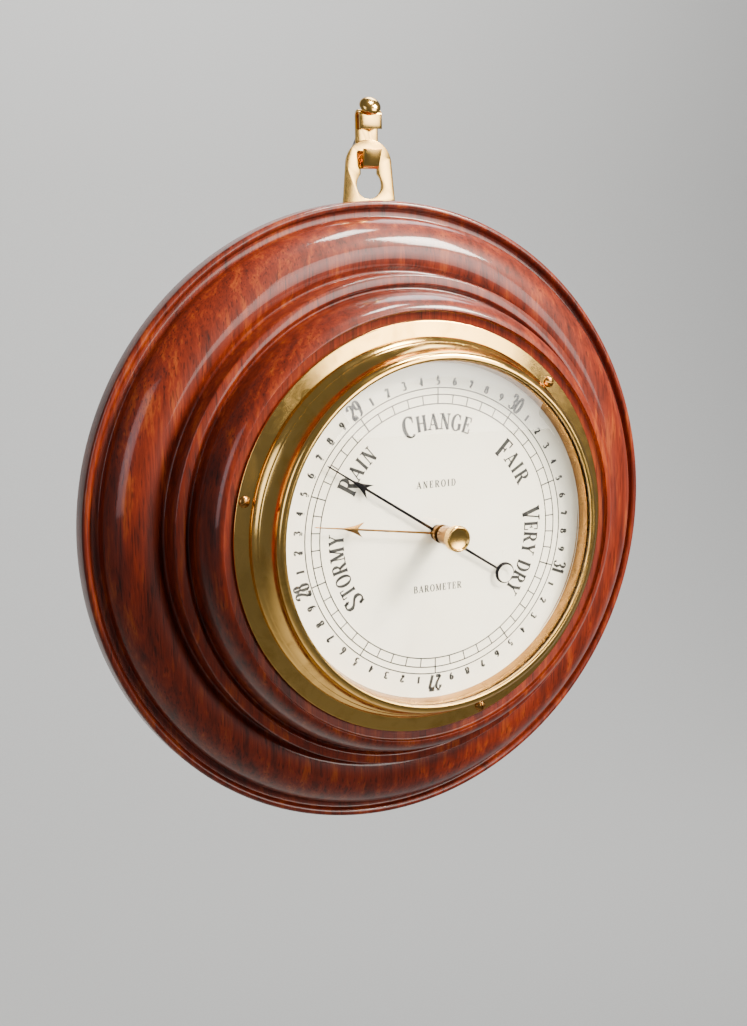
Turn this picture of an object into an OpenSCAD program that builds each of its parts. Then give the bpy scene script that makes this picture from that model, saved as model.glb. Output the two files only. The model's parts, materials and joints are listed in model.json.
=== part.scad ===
// Ship's aneroid barometer in a brass case on a turned mahogany board.
// Millimetres, +Z up, front towards -Y, origin on the dial's axis at the board's back face.
// Every height h is measured from the back face towards the viewer, so y = -h.

/* [Board] */
// Radius of the turned board
board_r = 127; // [125:0.5:130]
// Height of the flat land that carries the case flange
land_h = 44.2; // [43.5:0.1:45]
// Radius of the recess that takes the case
recess_r = 74; // [73.9:0.1:74.4]
// Wood left behind the case
floor_h = 8; // [6:0.5:8]
// Radius of the hole that reaches the adjusting screw
access_r = 5; // [4:0.5:7]

/* [Case] */
// Outer radius of the case
case_r = 73.5; // [73.2:0.1:73.7]
// Thickness of the spun brass
case_wall = 1.2; // [0.8:0.1:1.4]
// Outer radius of the flange
flange_r = 81; // [80:0.5:83]
// Radius of the screw circle on the flange
flange_screw_pcr = 78.3; // [77.8:0.1:78.8]
// Height of the bezel's front edge
bezel_h = 61.3; // [61:0.1:62.5]

/* [Glass and dial] */
// Radius of the glass
glass_r = 67.8; // [67.5:0.1:67.9]
// Thickness of the glass at its middle
glass_t = 3.4; // [2.8:0.1:3.6]
// Radius of the dial plate
dial_r = 69; // [68.4:0.1:69.2]
// Height of the dial's face
dial_h = 52; // [51.9:0.05:52]

/* [Hands] */
// Length of the pressure hand from its centre to its tip
pressure_hand_len = 55.5; // [50:0.5:60]
// Clockwise angle of the pressure hand from the top
pressure_hand_angle = 302.5; // [240:0.5:400]
// Length of the set hand from its centre to its tip
set_hand_len = 53.8; // [50:0.5:60]
// Clockwise angle of the set hand from the top
set_hand_angle = 278; // [0:1:359]
// Radius of the knob
knob_r = 5; // [4.5:0.1:6]

/* [Hanger] */
// Half width of the hanger plate at the board
plate_half_w = 11.5; // [11:0.1:13]
// Thickness of the hanger plate
plate_t = 1.2; // [1:0.1:1.3]
// Height of the keyhole's round part above the dial's axis
keyhole_z = 133.2; // [132.5:0.1:133.5]
// Radius of the keyhole's round part
keyhole_r = 5.6; // [5.2:0.1:5.8]
// Radius of the rounded top of the keyhole's slot, and half its width
slot_r = 3.7; // [3.7:0.05:3.9]
// Height of the centre of the slot's rounded top, where the barometer swings
swing_z = 139.6; // [139.6:0.1:140]

/* [Movement] */
// Radius of the movement's base plate
base_r = 70; // [69:0.5:71]
// Outer radius of the vacuum capsule
capsule_r = 31; // [28:0.5:32]
// Radius of the drum that the chain winds on
drum_r = 0.95; // [0.9:0.01:1.1]
// Turns of the hairspring
hairspring_turns = 5; // [3:1:6]

/* [Hidden] */
$fn = 96;
eps = 0.5;

// Case and flange heights
case_back_h = 10;
case_floor_h = case_back_h + case_wall;
flange_h = land_h + 1.4;
case_rim_h = land_h + 5;
flange_screw_angles = [46, 162.5, 283];
flange_screw_r = 1.1;
flange_screw_end_h = land_h - 12.5;

// Glass stack heights
glass_back_h = 56.8;
glass_front_h = glass_back_h + glass_t;
glass_edge_h = glass_front_h - 1.2;
bevel_r = 60.5;
lip_h = 59.8;
lip_r = 66.7;
sight_foot_h = dial_h + 0.05;
sight_top_h = glass_back_h - 0.6;
glass_hole_r = 2.95;

// Knob, bush and hand stack heights
bush_r = 3.7;
bush_bore_r = 1.68;
set_arbor_r = 1.6;
bush_top_h = 67.3;
knob_h = 67.5;
knob_t = 3.4;
nut_h = 55.9;
set_boss_h = 54.7;
set_blade_h = 55;
pressure_boss_h = 52.9;
pressure_blade_h = 53.4;
blade_t = 0.4;

// Hanger heights
plate_bottom_z = 103;
plate_arch_z = 141;
plate_arch_rx = 10.2;
plate_arch_rz = 10;
plate_straight_z = 127;
hanger_screw_z = [109, 118.5];
hanger_screw_r = 1.4;
hanger_screw_head_r = 2.6;
hanger_screw_end = 9;
strip_y = 0.2;
strip_t = 1;
hook_half_w = 4.85;
crook_half_w = 3.5;
fold_y = -1.2;
fold_z = 160.2;
fold_r = 2.4;
fold_foot_z = 155;
pin_angle = 45;
pin_start = [0, -2.7, 163.6];
neck_r = 1.3;
neck_end = 5.2;
pin_core_r = 0.7;
pin_collar_r = 1.25;
pin_collar_end = 8;
pin_r = 0.9;
pin_end = 29;
pin_tip = 2;
head_r = 4.4;

// Movement heights
base_h = case_floor_h;
base_t = 2;
base_top_h = base_h + base_t;
capsule_mid_h = 18.5;
capsule_low_h = 15.6;
capsule_high_h = 2 * capsule_mid_h - capsule_low_h;
diaphragm_t = 0.5;
boss_r = 3.5;
adjuster_r = 1.5;
adjuster_tip_h = 15;
leaf_t = 1.2;
leaf_w = 24;
leaf_fold_r = 3.4;
bar_low_h = 25.5;
bar_top_h = 28;
bridge_half_w = 39;
bridge_foot_x = 50;
bridge_foot_h = base_top_h + 2.5;
bridge_screw_x = [-45, 45];
bridge_screw_y = [-26, -18];
spring_screw_x = [-7, 7];
spring_screw_y = -22;
spring_fold_y = -36;
spring_fold_h = bar_top_h + leaf_t + leaf_fold_r;
leaf_high_h = spring_fold_h + leaf_fold_r;
leaf_top_h = leaf_high_h + leaf_t;
post_r = 2.2;
post_top_h = 39.6;
lever_h = 38;
lever_tip_y = 44.5;
lever_rod_r = 0.9;
lever_foot_top_h = leaf_top_h + 1.1;
lever_screw_x = [-2.5, 2.5];
lever_screw_y = 10.5;
link_x = 1.5;
link_r = 0.45;
rocking_y = 50;
rocking_h = 26;
rocking_r = 1.5;
short_arm = rocking_y - lever_tip_y;
long_arm = 19;
chain_h = rocking_h + long_arm;
long_arm_x = 12;
bracket_x = [-8, 20];
bracket_t = 1.6;
bracket_foot_t = 1.5;
cage_low_h = 40.8;
hand_bar_h = 46.8;
hand_bar_t = 1.4;
hand_bar_top_h = hand_bar_h + hand_bar_t;
hand_pillar_x = 52;
arbor_r = 0.8;
arbor_top_h = 54.3;
hairspring_h = 49;
hairspring_r = 9.6;
dial_pillar_pcr = 67;
dial_pillar_angles = [30, 150, 270];
base_screw_pcr = 50;
base_screw_angles = [60, 180, 300];

// Colours
mahogany = "saddlebrown";
brass = "goldenrod";
dark_brass = "darkgoldenrod";
steel = "lightsteelblue";
blued = "midnightblue";
enamel = "floralwhite";

// Points of an elliptical arc from angle a0 to a1
function arc(cx, cy, rx, ry, a0, a1, n) =
    [for (i = [0:n]) let (a = a0 + (a1 - a0) * i / n) [cx + rx * cos(a), cy + ry * sin(a)]];

// Children drawn as a face seen from the front: x right, y up, z towards the viewer
module face() {
    rotate([90, 0, 0]) children();
}

// Child profile in (radius, height) turned about the dial's axis
module turned() {
    face() rotate_extrude() children();
}

// Child placed on a circle of radius r, a degrees clockwise from the top, in the face frame
module clockwise(a, r) {
    rotate([0, 0, -a]) translate([0, r, 0]) children();
}

// Child profile in (second axis, third axis), extruded along x and centred on x = 0
module along_x(w) {
    rotate([90, 0, 90]) translate([0, 0, -w / 2]) linear_extrude(w) children();
}

// Round bar or hole from h0 to h1 in the face frame
module post(r, h0, h1) {
    translate([0, 0, h0]) cylinder(r = r, h = h1 - h0);
}

// Slotted cheese head with its shank, standing on h0 in the face frame
module cheese_screw(head_r, head_t, shank_r, shank_len) {
    slot_w = head_r / 3.5;
    difference() {
        union() {
            cylinder(r = head_r, h = head_t);
            translate([0, 0, -shank_len]) cylinder(r = shank_r, h = shank_len + head_t / 2);
        }
        translate([-head_r - eps, -slot_w / 2, head_t / 2])
            cube([2 * (head_r + eps), slot_w, head_t]);
    }
}

// Profile of the board's mouldings from the back edge round to the land
function board_outline() = concat(
    [[access_r, 0], [board_r - 0.6, 0], [board_r, 0.6]],
    arc(board_r - 1.55, 7.6, 1.55, 1.55, 0, 180, 10),
    [[board_r - 3.6, 7.0], [board_r - 6.3, 7.0], [board_r - 6.8, 7.6]],
    arc(board_r - 21.7, 4.74, 16.26, 16.26, 23.6, 104.6, 20),
    [[board_r - 26.6, 19.7], [board_r - 27.6, 19.4], [board_r - 28.5, 19.9], [board_r - 28.6, 20.6]],
    [[board_r - 28.6, 30.2], [board_r - 28.9, 30.5], [board_r - 32.6, 30.9]],
    [[board_r - 33.3, 29.6], [board_r - 34.4, 29.5]],
    arc(board_r - 42.6, 30, 7.8, 16, 0, 86.7, 14),
    [[board_r - 42.2, land_h + 0.6], [board_r - 42.4, land_h]],
    [[recess_r, land_h], [recess_r, floor_h], [access_r, floor_h]]
);

module backboard() {
    color(mahogany) difference() {
        turned() polygon(board_outline());
        translate([-plate_half_w - 0.05, -plate_t, plate_bottom_z - 0.05])
            cube([2 * plate_half_w + 0.1, plate_t + eps, board_r]);
        face() {
            for (z = hanger_screw_z)
                translate([0, z, 0]) post(hanger_screw_r, 0, hanger_screw_end);
            for (a = flange_screw_angles)
                clockwise(a, flange_screw_pcr)
                    post(flange_screw_r, flange_screw_end_h - 0.5, land_h + eps);
        }
    }
}

// Outline of the hanger plate in (x, z)
function plate_outline() = concat(
    [[-plate_half_w, plate_bottom_z], [plate_half_w, plate_bottom_z], [plate_half_w, plate_straight_z]],
    arc(0, plate_arch_z, plate_arch_rx, plate_arch_rz, 0, 180, 24),
    [[-plate_half_w, plate_straight_z]]
);

module hanger_plate() {
    color(brass) face() difference() {
        linear_extrude(plate_t) polygon(plate_outline());
        translate([0, keyhole_z, 0]) post(keyhole_r, -eps, plate_t + eps);
        translate([0, swing_z, 0]) post(slot_r, -eps, plate_t + eps);
        translate([-slot_r, keyhole_z, -eps])
            cube([2 * slot_r, swing_z - keyhole_z, plate_t + 2 * eps]);
        for (z = hanger_screw_z)
            translate([0, z, 0]) cylinder(r1 = hanger_screw_head_r, r2 = hanger_screw_r, h = plate_t);
    }
}

module hanger_screws() {
    color(steel) face() for (z = hanger_screw_z)
        translate([0, z, 0]) difference() {
            union() {
                cylinder(r1 = hanger_screw_head_r, r2 = hanger_screw_r, h = plate_t);
                post(hanger_screw_r, plate_t, hanger_screw_end);
            }
            translate([-3, -0.35, -eps]) cube([6, 0.7, eps + 0.6]);
        }
}

// Hook strip behind the plate, with its top folded forwards; profile in (y, z)
module hook_strip() {
    along_x(2 * hook_half_w) polygon(concat(
        [[strip_y, 142.5], [strip_y + strip_t, 142.5]],
        arc(fold_y, fold_z, fold_r, fold_r, 0, 180, 20),
        [[fold_y - fold_r, fold_foot_z], [fold_y - fold_r + strip_t, fold_foot_z]],
        arc(fold_y, fold_z, fold_r - strip_t, fold_r - strip_t, 180, 0, 20)
    ));
}

// Crook that carries the plate, and the tongue in front of it; profile in (y, z)
module hook_crook() {
    intersection() {
        along_x(4 * hook_half_w) polygon([
            [1.2, 143], [1.2, 140.4], [0.4, 139.5], [-2.2, 139.5], [-3.2, 140.5], [-5.0, 147.0],
            [-4.05, 147.3], [-2.35, 141.2], [-1.75, 140.55], [0.05, 140.55], [0.2, 140.75], [0.2, 143]
        ]);
        face() translate([0, 0, -2]) linear_extrude(10) polygon([
            [-crook_half_w, 139], [crook_half_w, 139], [crook_half_w, 141], [4.1, 148], [-4.1, 148],
            [-crook_half_w, 141]
        ]);
    }
}

// Child bar along the pin's axis, from its head down into the wall
module pin_axis() {
    translate(pin_start) rotate([-90 - pin_angle, 0, 0]) children();
}

module wall_hook() {
    color(brass) difference() {
        union() {
            hook_strip();
            hook_crook();
        }
        pin_axis() cylinder(r = neck_r, h = pin_collar_end);
    }
}

module hook_pin() {
    color(steel) pin_axis() union() {
        translate([0, 0, -1]) cylinder(r = pin_core_r, h = neck_end + 1);
        translate([0, 0, neck_end]) cylinder(r = pin_collar_r, h = pin_collar_end - neck_end);
        translate([0, 0, pin_collar_end]) cylinder(r = pin_r, h = pin_end - pin_collar_end);
        translate([0, 0, pin_end]) cylinder(r1 = pin_r, r2 = 0.15, h = pin_tip);
    }
}

module hook_pin_head() {
    color(brass) pin_axis() difference() {
        union() {
            cylinder(r = neck_r, h = neck_end);
            rotate_extrude() polygon(concat(
                [[0, 1.0], [3.4, 1.0], [3.8, 0.6], [head_r - 0.2, 0.4], [head_r, 0.1]],
                arc(0, -0.3, head_r, 2.8, 0, -90, 12)
            ));
        }
        translate([0, 0, -1]) cylinder(r = pin_core_r, h = neck_end + 1 + eps);
    }
}

module case() {
    color(brass) difference() {
        turned() polygon([
            [3, case_back_h], [case_r - 1, case_back_h], [case_r, case_back_h + 1], [case_r, land_h],
            [flange_r - 0.3, land_h], [flange_r, land_h + 0.3], [flange_r, flange_h - 0.4],
            [flange_r - 0.4, flange_h], [case_r, flange_h], [case_r, case_rim_h],
            [case_r - case_wall, case_rim_h], [case_r - case_wall, case_floor_h], [3, case_floor_h]
        ]);
        face() {
            for (a = flange_screw_angles)
                clockwise(a, flange_screw_pcr)
                    post(flange_screw_r + 0.1, land_h - eps, flange_h + eps);
            for (a = base_screw_angles)
                clockwise(a, base_screw_pcr) post(1.6, case_back_h - eps, case_floor_h + eps);
        }
    }
}

// Round-head wood screws, each slot turned differently
module flange_screws() {
    color(dark_brass) face() for (i = [0:2])
        clockwise(flange_screw_angles[i], flange_screw_pcr)
            translate([0, 0, flange_h]) rotate([0, 0, 35 + 50 * i]) difference() {
                union() {
                    rotate_extrude() polygon(concat([[0, 0]], arc(0, 0, 2.2, 1.5, 0, 90, 8)));
                    translate([0, 0, flange_screw_end_h - flange_h])
                        cylinder(r = flange_screw_r, h = flange_h - flange_screw_end_h + 0.1);
                }
                translate([-3, -0.3, 0.7]) cube([6, 0.6, 2]);
            }
}

module bezel() {
    skirt_r = case_r + 1.5;
    color(brass) turned() polygon(concat(
        [[case_r, flange_h + 0.7], [skirt_r - 0.3, flange_h + 0.7], [skirt_r, flange_h + 1]],
        [[skirt_r, 47.75], [73.6, 49.15], [72.9, 49.95]],
        arc(83.37, 59.5, 14.2, 14.2, 222.4, 188.9, 10),
        arc(67.6, bezel_h - 2.4, 2.4, 2.4, -42, 90, 12),
        [[67.2, bezel_h], [lip_r, bezel_h - 0.5], [lip_r, lip_h], [glass_r + 0.1, lip_h]],
        [[glass_r + 0.1, 55], [71.3, 50.6], [71.3, case_rim_h], [case_r, case_rim_h]]
    ));
}

module glass() {
    color("lightcyan", 0.3) turned() polygon([
        [glass_hole_r, glass_back_h], [glass_r, glass_back_h], [glass_r, glass_edge_h],
        [bevel_r, glass_front_h], [glass_hole_r, glass_front_h]
    ]);
}

module glass_packing() {
    color("dimgray") turned() polygon([
        [lip_r, glass_edge_h + 0.25], [glass_r, glass_edge_h + 0.05], [glass_r, lip_h], [lip_r, lip_h]
    ]);
}

module sight_ring() {
    color(brass) turned() polygon([
        [64.6, sight_foot_h], [65.2, sight_foot_h], [67, sight_top_h], [glass_r, sight_top_h],
        [glass_r, glass_back_h], [66.5, glass_back_h]
    ]);
}

module dial_plate() {
    color(enamel) difference() {
        turned() polygon([[2.2, dial_h - 1], [dial_r, dial_h - 1], [dial_r, dial_h], [2.2, dial_h]]);
        face() for (a = dial_pillar_angles)
            clockwise(a, dial_pillar_pcr) post(0.7, dial_h - 1 - eps, dial_h + eps);
    }
}

// Blade of a hand that points up: a thin needle with a swallow-tailed arrow on it
module arrow_blade(len, arrow_y, root_w, tip_w) {
    polygon([
        [-root_w, 0], [-root_w * 0.8, arrow_y + 1], [-2.9, arrow_y - 1.2], [-1.2, arrow_y + 3],
        [-tip_w, arrow_y + 7], [-tip_w * 0.7, len - 1], [0, len], [tip_w * 0.7, len - 1],
        [tip_w, arrow_y + 7], [1.2, arrow_y + 3], [2.9, arrow_y - 1.2], [root_w * 0.8, arrow_y + 1],
        [root_w, 0]
    ]);
}

module pressure_hand() {
    tail_y = -35;
    color(blued) face() rotate([0, 0, -pressure_hand_angle]) difference() {
        union() {
            translate([0, 0, pressure_blade_h]) linear_extrude(blade_t)
                arrow_blade(pressure_hand_len, 35.6, 0.6, 0.4);
            translate([0, 0, pressure_blade_h]) linear_extrude(blade_t)
                polygon([[-0.6, 0], [-0.45, tail_y + 3.4], [0.45, tail_y + 3.4], [0.6, 0]]);
            translate([0, tail_y, pressure_blade_h]) difference() {
                cylinder(r = 4.2, h = blade_t);
                translate([0, -0.72, -eps]) cylinder(r = 3.5, h = blade_t + 2 * eps);
            }
            post(3.2, pressure_boss_h, pressure_blade_h + blade_t);
            post(1.6, pressure_blade_h, arbor_top_h);
        }
        post(arbor_r, pressure_boss_h - eps, arbor_top_h + eps);
    }
}

module set_hand() {
    color(brass) face() rotate([0, 0, -set_hand_angle]) difference() {
        union() {
            translate([0, 0, set_blade_h]) linear_extrude(blade_t)
                arrow_blade(set_hand_len, 34.6, 0.45, 0.3);
            post(3.5, set_boss_h, nut_h - 0.2);
        }
        post(set_arbor_r, set_boss_h - eps, nut_h);
    }
}

module set_arbor() {
    color(dark_brass) face() post(set_arbor_r, set_boss_h, knob_h + knob_t - 1.2);
}

module set_knob() {
    teeth = 28;
    color(brass) difference() {
        turned() polygon(concat(
            [[0, knob_h], [knob_r - 0.5, knob_h], [knob_r, knob_h + 0.5]],
            [[knob_r, knob_h + knob_t - 0.4], [knob_r - 0.4, knob_h + knob_t]],
            [[knob_r - 0.8, knob_h + knob_t], [knob_r - 1.2, knob_h + knob_t - 0.6], [0, knob_h + knob_t - 0.9]]
        ));
        face() {
            post(set_arbor_r, knob_h - eps, knob_h + knob_t - 1.2);
            for (i = [0:teeth - 1])
                rotate([0, 0, 360 * i / teeth]) translate([knob_r + 0.22, 0, 0])
                    post(0.4, knob_h - eps, knob_h + knob_t + eps);
        }
    }
}

module glass_bush() {
    color(dark_brass) turned() polygon([
        [bush_bore_r, nut_h], [glass_hole_r - 0.05, nut_h], [glass_hole_r - 0.05, glass_front_h],
        [bush_r, glass_front_h], [bush_r, bush_top_h - 0.3], [bush_r - 0.3, bush_top_h],
        [bush_bore_r, bush_top_h]
    ]);
}

module bush_nut() {
    color(dark_brass) turned() polygon([
        [glass_hole_r - 0.05, nut_h], [bush_r, nut_h], [bush_r, glass_back_h],
        [glass_hole_r - 0.05, glass_back_h]
    ]);
}

module base_plate() {
    color(brass) face() difference() {
        post(base_r, base_h, base_top_h);
        post(adjuster_r + 0.05, base_h - eps, base_top_h + eps);
        for (a = base_screw_angles)
            clockwise(a, base_screw_pcr) post(1.5, base_h - eps, base_top_h + eps);
    }
}

// Cheese-head screws driven forwards through the back of the case
module base_plate_screws() {
    color(steel) face() for (a = base_screw_angles)
        clockwise(a, base_screw_pcr) translate([0, 0, case_back_h]) mirror([0, 0, 1])
            cheese_screw(2.8, 1.5, 1.5, base_top_h - case_back_h);
}

module adjusting_screw() {
    color(steel) face() difference() {
        union() {
            post(adjuster_r, 9, adjuster_tip_h);
            post(2.6, 8.8, case_floor_h - 0.5);
        }
        translate([-3, -0.4, 8.8 - eps]) cube([6, 0.8, eps + 0.9]);
    }
}

// Height of the ripples pressed into the capsule's halves at radius r
function ripple(r) = r < 7 || r > capsule_r - 4 ? 0 : 0.5 * sin(360 * (r - 7) / (capsule_r - 11) * 3);

// Outer skin of the lower half from its centre to its rim, as (radius, height) points
function diaphragm(lift) = concat(
    [for (i = [0:36]) let (r = 2 + (capsule_r - 6) * i / 36) [r, capsule_low_h + ripple(r) + lift]],
    [[capsule_r - 2, capsule_mid_h - diaphragm_t + lift], [capsule_r, capsule_mid_h - diaphragm_t + lift]]
);

function reversed(points) = [for (i = [len(points) - 1:-1:0]) points[i]];

module capsule_half() {
    polygon(concat(diaphragm(0), reversed(diaphragm(diaphragm_t))));
}

module capsule_lower() {
    color(steel) {
        turned() union() {
            capsule_half();
            polygon([
                [adjuster_r + 0.2, base_top_h], [boss_r, base_top_h], [boss_r, capsule_low_h + diaphragm_t],
                [0, capsule_low_h + diaphragm_t], [0, adjuster_tip_h + 0.1],
                [adjuster_r + 0.2, adjuster_tip_h + 0.1]
            ]);
        }
    }
}

module capsule_upper() {
    color(steel) face() translate([0, 0, 2 * capsule_mid_h]) mirror([0, 0, 1])
        rotate_extrude() union() {
            capsule_half();
            polygon([
                [0, capsule_low_h], [boss_r, capsule_low_h], [boss_r, capsule_low_h + diaphragm_t],
                [0, capsule_low_h + diaphragm_t]
            ]);
        }
}

module capsule_post() {
    color(brass) face() difference() {
        union() {
            post(4.5, capsule_high_h, capsule_high_h + 1);
            post(post_r, capsule_high_h, post_top_h);
        }
        translate([-post_r - eps, -0.9, leaf_top_h]) cube([2 * (post_r + eps), 1.8, 1.8]);
    }
}

// Prism with its edge down on the spring, through the post's window
module knife_edge() {
    color(steel) face() translate([0, 0, leaf_top_h + 0.03]) along_x(11)
        polygon([[0, 0], [0.87, 1.2], [0.87, 1.7], [-0.87, 1.7], [-0.87, 1.2]]);
}

module spring_bridge() {
    color(brass) face() difference() {
        translate([0, -14, 0]) rotate([90, 0, 0]) linear_extrude(16) polygon([
            [-bridge_foot_x, base_top_h], [3 - bridge_half_w, base_top_h], [3 - bridge_half_w, bar_low_h],
            [bridge_half_w - 3, bar_low_h], [bridge_half_w - 3, base_top_h], [bridge_foot_x, base_top_h],
            [bridge_foot_x, bridge_foot_h], [bridge_half_w, bridge_foot_h], [bridge_half_w, bar_top_h],
            [-bridge_half_w, bar_top_h], [-bridge_half_w, bridge_foot_h], [-bridge_foot_x, bridge_foot_h]
        ]);
        for (x = bridge_screw_x, y = bridge_screw_y)
            translate([x, y, 0]) post(1.3, base_top_h - eps, bridge_foot_h + eps);
        for (x = spring_screw_x)
            translate([x, spring_screw_y, 0]) post(1, bar_low_h - eps, bar_top_h + eps);
    }
}

module bridge_screws() {
    color(steel) face() for (x = bridge_screw_x, y = bridge_screw_y)
        translate([x, y, bridge_foot_h]) cheese_screw(2.5, 1.5, 1.3, 2.4);
}

module mainspring() {
    color(blued) face() difference() {
        along_x(leaf_w) polygon(concat(
            [[-14, bar_top_h], [-14, bar_top_h + leaf_t]],
            arc(spring_fold_y, spring_fold_h, leaf_fold_r, leaf_fold_r, 270, 90, 16),
            [[14.5, leaf_high_h], [14.5, leaf_top_h]],
            arc(spring_fold_y, spring_fold_h, leaf_fold_r + leaf_t, leaf_fold_r + leaf_t, 90, 270, 16)
        ));
        post(2.8, leaf_high_h - eps, leaf_top_h + eps);
        for (x = spring_screw_x)
            translate([x, spring_screw_y, 0]) post(1.2, bar_top_h - eps, bar_top_h + leaf_t + eps);
        for (x = lever_screw_x)
            translate([x, lever_screw_y, 0]) post(0.8, leaf_high_h - eps, leaf_top_h + eps);
    }
}

module spring_screws() {
    color(steel) face() for (x = spring_screw_x)
        translate([x, spring_screw_y, bar_top_h + leaf_t]) cheese_screw(2, 1.2, 1, leaf_t + 2.5);
}

module main_lever() {
    color(steel) face() difference() {
        union() {
            translate([-4, 5.5, leaf_top_h]) cube([8, 9, lever_foot_top_h - leaf_top_h]);
            translate([0, 12, lever_h + 0.1]) rotate([-90, 0, 0]) cylinder(r = lever_rod_r, h = 30);
            translate([-0.6, 41, lever_h - 1.3]) cube([1.2, 4.8, 2.6]);
        }
        translate([-1, lever_tip_y, lever_h]) rotate([0, 90, 0]) cylinder(r = link_r, h = 2);
        for (x = lever_screw_x)
            translate([x, lever_screw_y, 0]) post(0.7, leaf_top_h - eps, lever_foot_top_h + eps);
    }
}

module lever_screws() {
    color(steel) face() for (x = lever_screw_x)
        translate([x, lever_screw_y, lever_foot_top_h])
            cheese_screw(1.3, 0.8, 0.7, lever_foot_top_h - leaf_high_h);
}

// Link with a pin at each end: one in the lever's tip, one in the short arm's eye
module lever_link() {
    color(steel) face() {
        translate([link_x, lever_tip_y, 0]) post(link_r, rocking_h - 0.6, lever_h + 0.6);
        for (h = [rocking_h, lever_h])
            translate([-1.2, lever_tip_y, h]) rotate([0, 90, 0]) cylinder(r = link_r, h = link_x + 1.2);
    }
}

module rocking_bar() {
    bar_x0 = bracket_x[0] + bracket_t;
    bar_len = bracket_x[1] - bracket_x[0] - 2 * bracket_t;
    color(steel) face() difference() {
        union() {
            translate([bar_x0, rocking_y, rocking_h]) rotate([0, 90, 0])
                cylinder(r = rocking_r, h = bar_len);
            translate([-0.6, lever_tip_y - 1.2, rocking_h - 1]) cube([1.2, short_arm + 1.2, 2]);
            translate([long_arm_x - 0.6, rocking_y - 1, rocking_h]) cube([1.2, 2, long_arm + 1]);
        }
        translate([-1, lever_tip_y, rocking_h]) rotate([0, 90, 0]) cylinder(r = link_r + 0.12, h = 2);
        translate([bar_x0 - eps, rocking_y, rocking_h]) rotate([0, 90, 0])
            cylinder(r = 0.66, h = 1.6 + eps);
        translate([bar_x0 + bar_len - 1.6, rocking_y, rocking_h]) rotate([0, 90, 0])
            cylinder(r = 0.66, h = 1.6 + eps);
    }
}

module rocking_brackets() {
    color(brass) face() for (side = [0, 1]) {
        x = bracket_x[side];
        foot_x = side == 0 ? x - 7 : x - bracket_t / 2;
        difference() {
            union() {
                translate([x - bracket_t / 2, rocking_y - 4, base_top_h])
                    cube([bracket_t, 8, rocking_h - base_top_h + 3]);
                translate([foot_x, rocking_y - 4, base_top_h])
                    cube([7 + bracket_t / 2, 8, bracket_foot_t]);
            }
            translate([x - 1, rocking_y, rocking_h]) rotate([0, 90, 0]) cylinder(r = 1.1, h = 2);
            translate([side == 0 ? x - 4 : x + 4, rocking_y, 0])
                post(1, base_top_h - eps, base_top_h + 2);
        }
    }
}

module bracket_screws() {
    color(steel) face() for (x = [bracket_x[0] - 4, bracket_x[1] + 4])
        translate([x, rocking_y, base_top_h + bracket_foot_t]) cheese_screw(1.9, 1.2, 1, 1.4);
}

module pivot_screws() {
    color(steel) face() for (side = [0, 1])
        translate([bracket_x[side], rocking_y, rocking_h]) rotate([0, side == 0 ? 90 : -90, 0]) {
            translate([0, 0, -bracket_t / 2]) cylinder(r = 1.1, h = bracket_t);
            translate([0, 0, -bracket_t / 2 - 1.2]) cylinder(r = 1.8, h = 1.2);
            translate([0, 0, bracket_t / 2]) cylinder(r = 0.6, h = 2);
        }
}

// Straight run of the chain from the long arm to the drum's side
module chain() {
    arm = [long_arm_x - 0.9, rocking_y - 1.2];
    run = [arm.x - drum_r - 0.4, arm.y];
    color(steel) face() translate([drum_r + 0.4, 0, chain_h])
        rotate([0, 0, -atan2(run.x, run.y)]) rotate([-90, 0, 0]) cylinder(r = 0.3, h = norm(run));
}

module hand_arbor() {
    color(steel) face() {
        post(0.45, cage_low_h + 0.1, cage_low_h + 1.5);
        post(arbor_r, cage_low_h + 1.5, arbor_top_h);
        post(drum_r, chain_h - 1, chain_h + 1);
        post(1.5, hairspring_h - 0.1, hairspring_h + 0.9);
    }
}

module arbor_cage() {
    color(brass) face() difference() {
        translate([0, 4, 0]) rotate([90, 0, 0]) linear_extrude(8) polygon([
            [-12, cage_low_h], [12, cage_low_h], [12, hand_bar_h], [10.6, hand_bar_h],
            [10.6, cage_low_h + 1.2], [-10.6, cage_low_h + 1.2], [-10.6, hand_bar_h], [-12, hand_bar_h]
        ]);
        post(0.5, cage_low_h - eps, cage_low_h + 2);
    }
}

module hand_bridge() {
    color(brass) face() difference() {
        union() {
            translate([-hand_pillar_x, -5, hand_bar_h]) cube([2 * hand_pillar_x, 10, hand_bar_t]);
            for (x = [-hand_pillar_x, hand_pillar_x])
                translate([x, 0, 0]) post(5, hand_bar_h, hand_bar_top_h);
            translate([hairspring_r + 0.9, 0, 0]) post(0.8, hand_bar_top_h, hairspring_h + 1);
        }
        post(arbor_r + 0.05, hand_bar_h - eps, hand_bar_top_h + eps);
        for (x = [-hand_pillar_x, hand_pillar_x])
            translate([x, 0, 0]) post(1.1, hand_bar_h - eps, hand_bar_top_h + eps);
    }
}

module bridge_pillars() {
    color(brass) face() for (x = [-hand_pillar_x, hand_pillar_x])
        translate([x, 0, 0]) difference() {
            post(3, base_top_h, hand_bar_h);
            post(1, hand_bar_h - 6, hand_bar_h + eps);
        }
}

module hand_bridge_screws() {
    color(steel) face() for (x = [-hand_pillar_x, hand_pillar_x])
        translate([x, 0, hand_bar_top_h]) cheese_screw(2.3, 1.4, 1, hand_bar_t + 5);
}

// Flat ribbon wound outwards from the collet to the stud
module hairspring() {
    steps = hairspring_turns * 20;
    inner_r = 1.7;
    ribbon = 0.22;
    function coil_r(i) = inner_r + (hairspring_r - inner_r) * i / steps;
    function coil(grow) = [for (i = [0:steps]) let (a = 360 * hairspring_turns * i / steps)
        [(coil_r(i) + grow) * cos(a), (coil_r(i) + grow) * sin(a)]];
    color(blued) face() translate([0, 0, hairspring_h])
        linear_extrude(0.8) polygon(concat(coil(0), reversed(coil(ribbon))));
}

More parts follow.
